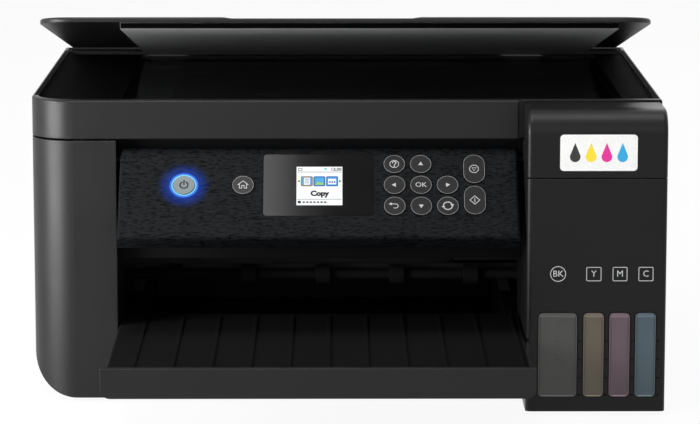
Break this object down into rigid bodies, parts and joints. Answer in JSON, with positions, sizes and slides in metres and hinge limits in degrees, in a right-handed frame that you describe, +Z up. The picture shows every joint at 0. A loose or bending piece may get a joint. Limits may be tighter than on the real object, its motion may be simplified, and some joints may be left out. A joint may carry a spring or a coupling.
{
  "type": "ink-tank inkjet printer",
  "caption": "Ink-tank inkjet printer with a flatbed scanner under a hinged lid, a tilting control panel, a sliding output tray and a front ink tank unit with windows.",
  "frame": {"origin": "on the table under the middle of the part, with the output tray drawn out", "axes": "+X to the right as seen from the front, +Y from the front towards the rear, +Z up"},
  "size_m": [0.375, 0.479, 0.2311],
  "materials": {
    "case": "satin black moulded plastic",
    "panel": "fine-textured charcoal plastic",
    "button": "satin dark grey key caps",
    "power_cap": "pale grey key cap",
    "lens": "gloss black screen window",
    "glass": "clear flat scanning glass",
    "mat": "grey backing mat",
    "ink_black": "smoked translucent tank with black ink",
    "ink_yellow": "smoked translucent tank with yellow ink",
    "ink_magenta": "smoked translucent tank with magenta ink",
    "ink_cyan": "smoked translucent tank with cyan ink",
    "cap": "soft tank caps",
    "steel": "zinc-plated sheet steel and ground rod",
    "rubber": "grey roller rubber on steel",
    "inner": "black moulded inner plastic",
    "board": "green circuit board",
    "waste": "grey waste ink box"
  },
  "bodies": {
    "chassis": {"base_pan": "case", "left_cover": "case", "right_cover": "case", "rear_cover": "case", "front_fascia": "case", "feet": "rubber", "case_screws": "steel", "mech_frame": "steel", "carriage_rail": "steel", "platen": "inner", "timing_belt": "rubber", "carriage_motor": "steel", "feed_motor": "steel", "feed_belt": "rubber", "main_board": "board", "power_supply": "inner", "power_inlet": "inner", "usb_port": "inner", "rear_feeder": "inner", "ink_tank_black": "ink_black", "ink_tank_yellow": "ink_yellow", "ink_tank_magenta": "ink_magenta", "ink_tank_cyan": "ink_cyan"},
    "scanner_unit": {"scanner_frame": "case", "scanner_base": "case", "scan_glass": "glass"},
    "lid": {"document_lid": "case", "lid_mat": "mat"},
    "panel": {"control_panel": "panel", "screen_window": "lens"},
    "tray": {"output_tray": "case"},
    "tank_lid": {"tank_cover": "case"},
    "carriage_unit": {"carriage": "inner", "print_head": "inner"},
    "drive_wheel": {"drive_pulley": "inner"},
    "idler_wheel": {"idler_pulley": "inner"},
    "feed_shaft": {"feed_roller": "steel"},
    "exit_shaft": {"exit_roller": "rubber"},
    "pickup_shaft": {"pickup_roller": "rubber"},
    "guide_left": {"edge_guide_left": "inner"},
    "guide_right": {"edge_guide_right": "inner"},
    "support": {"paper_support": "case"},
    "sensor": {"sensor_bar": "inner"},
    "waste_box": {"waste_ink_box": "waste"},
    "cap_black": {"tank_cap_black": "cap"},
    "cap_yellow": {"tank_cap_yellow": "cap"},
    "cap_magenta": {"tank_cap_magenta": "cap"},
    "cap_cyan": {"tank_cap_cyan": "cap"},
    "key_power": {"button_power": "power_cap"},
    "key_home": {"button_home": "button"},
    "key_help": {"button_help": "button"},
    "key_up": {"button_up": "button"},
    "key_left": {"button_left": "button"},
    "key_ok": {"button_ok": "button"},
    "key_right": {"button_right": "button"},
    "key_back": {"button_back": "button"},
    "key_down": {"button_down": "button"},
    "key_reset": {"button_reset": "button"},
    "key_stop": {"button_stop": "button"},
    "key_start": {"button_start": "button"}
  },
  "joints": [
    {"name": "scanner_lift", "type": "hinge", "parent": "chassis", "child": "scanner_unit", "pos_m": [0, 0.2115, 0.164], "axis": [-1, 0, 0], "range_deg": [0, 30]},
    {"name": "lid_hinge", "type": "hinge", "parent": "scanner_unit", "child": "lid", "pos_m": [0, 0.1955, 0.186], "axis": [-1, 0, 0], "range_deg": [-9.8, 45]},
    {"name": "panel_tilt", "type": "hinge", "parent": "chassis", "child": "panel", "pos_m": [0, -0.0635, 0.1463], "axis": [-1, 0, 0], "range_deg": [-42, 3]},
    {"name": "tank_cover_hinge", "type": "hinge", "parent": "chassis", "child": "tank_lid", "pos_m": [0, -0.076, 0.1746], "axis": [-1, 0, 0], "range_deg": [0, 80]},
    {"name": "tray_slide", "type": "slide", "parent": "chassis", "child": "tray", "axis": [0, 1, 0], "range_m": [0, 0.168]},
    {"name": "carriage_slide", "type": "slide", "parent": "chassis", "child": "carriage_unit", "axis": [-1, 0, 0], "range_m": [0, 0.2]},
    {"name": "drive_turn", "type": "hinge", "parent": "chassis", "child": "drive_wheel", "pos_m": [-0.132, 0.0805, 0.122], "axis": [0, 1, 0], "continuous": true},
    {"name": "idler_turn", "type": "hinge", "parent": "chassis", "child": "idler_wheel", "pos_m": [0.104, 0.0805, 0.122], "axis": [0, 1, 0], "continuous": true},
    {"name": "feed_turn", "type": "hinge", "parent": "chassis", "child": "feed_shaft", "pos_m": [0, 0.0665, 0.062], "axis": [1, 0, 0], "continuous": true},
    {"name": "exit_turn", "type": "hinge", "parent": "chassis", "child": "exit_shaft", "pos_m": [0, 0.0185, 0.062], "axis": [1, 0, 0], "continuous": true},
    {"name": "pickup_turn", "type": "hinge", "parent": "chassis", "child": "pickup_shaft", "pos_m": [0, 0.1925, 0.1], "axis": [1, 0, 0], "continuous": true},
    {"name": "guide_left_slide", "type": "slide", "parent": "chassis", "child": "guide_left", "axis": [1, 0, 0], "range_m": [0, 0.05]},
    {"name": "guide_right_slide", "type": "slide", "parent": "chassis", "child": "guide_right", "axis": [-1, 0, 0], "range_m": [0, 0.05]},
    {"name": "support_slide", "type": "slide", "parent": "chassis", "child": "support", "axis": [0, 0, 1], "range_m": [0, 0.075]},
    {"name": "sensor_slide", "type": "slide", "parent": "scanner_unit", "child": "sensor", "axis": [1, 0, 0], "range_m": [0, 0.26]},
    {"name": "waste_box_slide", "type": "slide", "parent": "chassis", "child": "waste_box", "axis": [0, 1, 0], "range_m": [0, 0.075]},
    {"name": "cap_black_pull", "type": "slide", "parent": "chassis", "child": "cap_black", "axis": [0, 0, 1], "range_m": [0, 0.011]},
    {"name": "cap_yellow_pull", "type": "slide", "parent": "chassis", "child": "cap_yellow", "axis": [0, 0, 1], "range_m": [0, 0.011]},
    {"name": "cap_magenta_pull", "type": "slide", "parent": "chassis", "child": "cap_magenta", "axis": [0, 0, 1], "range_m": [0, 0.011]},
    {"name": "cap_cyan_pull", "type": "slide", "parent": "chassis", "child": "cap_cyan", "axis": [0, 0, 1], "range_m": [0, 0.011]},
    {"name": "press_power", "type": "slide", "parent": "panel", "child": "key_power", "axis": [0, 0.7431, -0.6691], "range_m": [0, 0.0009], "stiffness_N_per_m": 600},
    {"name": "press_home", "type": "slide", "parent": "panel", "child": "key_home", "axis": [0, 0.7431, -0.6691], "range_m": [0, 0.0009], "stiffness_N_per_m": 600},
    {"name": "press_help", "type": "slide", "parent": "panel", "child": "key_help", "axis": [0, 0.7431, -0.6691], "range_m": [0, 0.0009], "stiffness_N_per_m": 600},
    {"name": "press_up", "type": "slide", "parent": "panel", "child": "key_up", "axis": [0, 0.7431, -0.6691], "range_m": [0, 0.0009], "stiffness_N_per_m": 600},
    {"name": "press_left", "type": "slide", "parent": "panel", "child": "key_left", "axis": [0, 0.7431, -0.6691], "range_m": [0, 0.0009], "stiffness_N_per_m": 600},
    {"name": "press_ok", "type": "slide", "parent": "panel", "child": "key_ok", "axis": [0, 0.7431, -0.6691], "range_m": [0, 0.0009], "stiffness_N_per_m": 600},
    {"name": "press_right", "type": "slide", "parent": "panel", "child": "key_right", "axis": [0, 0.7431, -0.6691], "range_m": [0, 0.0009], "stiffness_N_per_m": 600},
    {"name": "press_back", "type": "slide", "parent": "panel", "child": "key_back", "axis": [0, 0.7431, -0.6691], "range_m": [0, 0.0009], "stiffness_N_per_m": 600},
    {"name": "press_down", "type": "slide", "parent": "panel", "child": "key_down", "axis": [0, 0.7431, -0.6691], "range_m": [0, 0.0009], "stiffness_N_per_m": 600},
    {"name": "press_reset", "type": "slide", "parent": "panel", "child": "key_reset", "axis": [0, 0.7431, -0.6691], "range_m": [0, 0.0009], "stiffness_N_per_m": 600},
    {"name": "press_stop", "type": "slide", "parent": "panel", "child": "key_stop", "axis": [0, 0.7431, -0.6691], "range_m": [0, 0.0009], "stiffness_N_per_m": 600},
    {"name": "press_start", "type": "slide", "parent": "panel", "child": "key_start", "axis": [0, 0.7431, -0.6691], "range_m": [0, 0.0009], "stiffness_N_per_m": 600}
  ],
  "couplings": [
    {"joint": "drive_turn", "follows": "carriage_slide", "rad_per_m": 132.45},
    {"joint": "idler_turn", "follows": "carriage_slide", "rad_per_m": 132.45},
    {"joint": "exit_turn", "follows": "feed_turn", "ratio": 1},
    {"joint": "guide_right_slide", "follows": "guide_left_slide", "ratio": 1}
  ]
}
